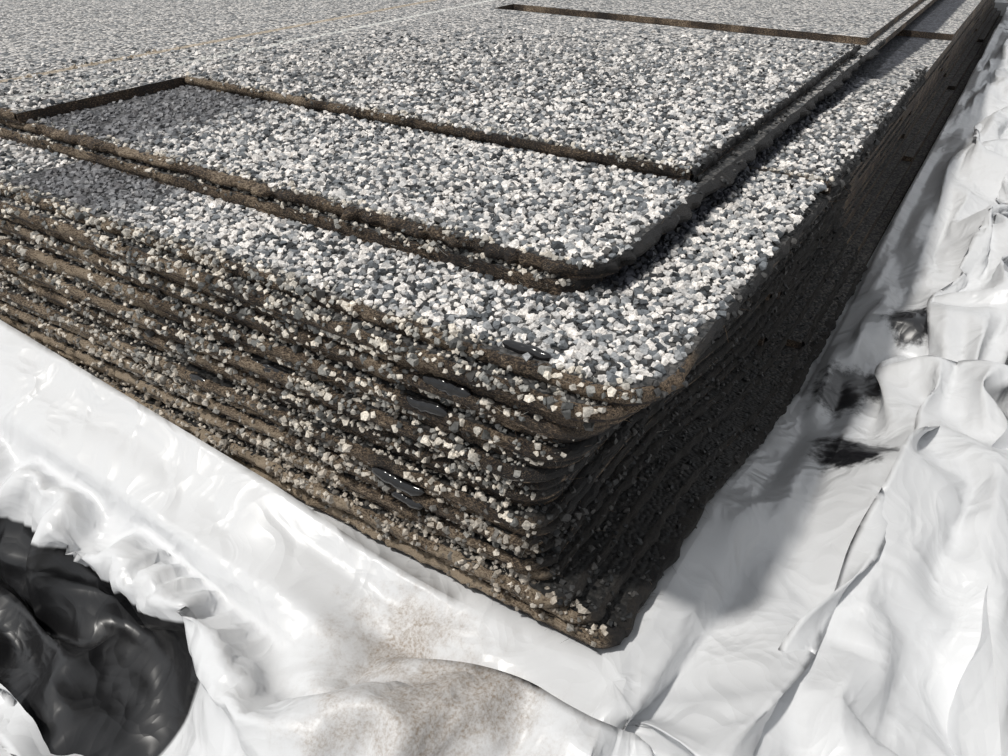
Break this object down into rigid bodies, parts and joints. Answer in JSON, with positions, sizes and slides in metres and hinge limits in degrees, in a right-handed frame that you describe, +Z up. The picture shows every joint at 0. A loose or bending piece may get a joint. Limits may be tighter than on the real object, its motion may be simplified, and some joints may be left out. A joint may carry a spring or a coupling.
{
  "type": "asphalt shingle bundle",
  "caption": "Opened bundle of laminated asphalt roof shingles lying face up in its torn film wrapper, alternate shingles turned head to tail.",
  "frame": {"origin": "on the floor, under the middle of the wrapper's outline", "axes": "+X along the shingles' length, away from the near end; +Y across them, from the upper shingles' teeth towards their headlap; +Z up"},
  "size_m": [1.1358, 0.49, 0.083],
  "materials": {
    "overlay_granules": "rough mineral granules, blended near-white, grey and black, on asphalt-coated glass mat",
    "backer_granules": "rough mineral granules with a darker shadow band at the head of each cut-out",
    "wrapper_film": "thin glossy white polyethylene film, crumpled, with brown dirt"
  },
  "bodies": {
    "root": {"shingle_01_backer": "backer_granules", "shingle_01_overlay": "overlay_granules", "shingle_02_backer": "backer_granules", "shingle_02_overlay": "overlay_granules", "shingle_03_backer": "backer_granules", "shingle_03_overlay": "overlay_granules", "shingle_04_backer": "backer_granules", "shingle_04_overlay": "overlay_granules", "shingle_05_backer": "backer_granules", "shingle_05_overlay": "overlay_granules", "shingle_06_backer": "backer_granules", "shingle_06_overlay": "overlay_granules", "shingle_07_backer": "backer_granules", "shingle_07_overlay": "overlay_granules", "shingle_08_backer": "backer_granules", "shingle_08_overlay": "overlay_granules", "shingle_09_backer": "backer_granules", "shingle_09_overlay": "overlay_granules", "shingle_10_backer": "backer_granules", "shingle_10_overlay": "overlay_granules", "shingle_11_backer": "backer_granules", "shingle_11_overlay": "overlay_granules", "shingle_12_backer": "backer_granules", "shingle_12_overlay": "overlay_granules", "shingle_13_backer": "backer_granules", "shingle_13_overlay": "overlay_granules", "shingle_14_backer": "backer_granules", "shingle_14_overlay": "overlay_granules", "shingle_15_backer": "backer_granules", "shingle_15_overlay": "overlay_granules", "shingle_16_backer": "backer_granules", "shingle_16_overlay": "overlay_granules", "shingle_17_backer": "backer_granules", "shingle_17_overlay": "overlay_granules", "shingle_18_backer": "backer_granules", "shingle_18_overlay": "overlay_granules", "shingle_19_backer": "backer_granules", "shingle_19_overlay": "overlay_granules", "shingle_20_backer": "backer_granules", "shingle_20_overlay": "overlay_granules", "shingle_21_backer": "backer_granules", "shingle_21_overlay": "overlay_granules", "shingle_22_backer": "backer_granules", "shingle_22_overlay": "overlay_granules", "wrapper": "wrapper_film"}
  },
  "joints": []
}
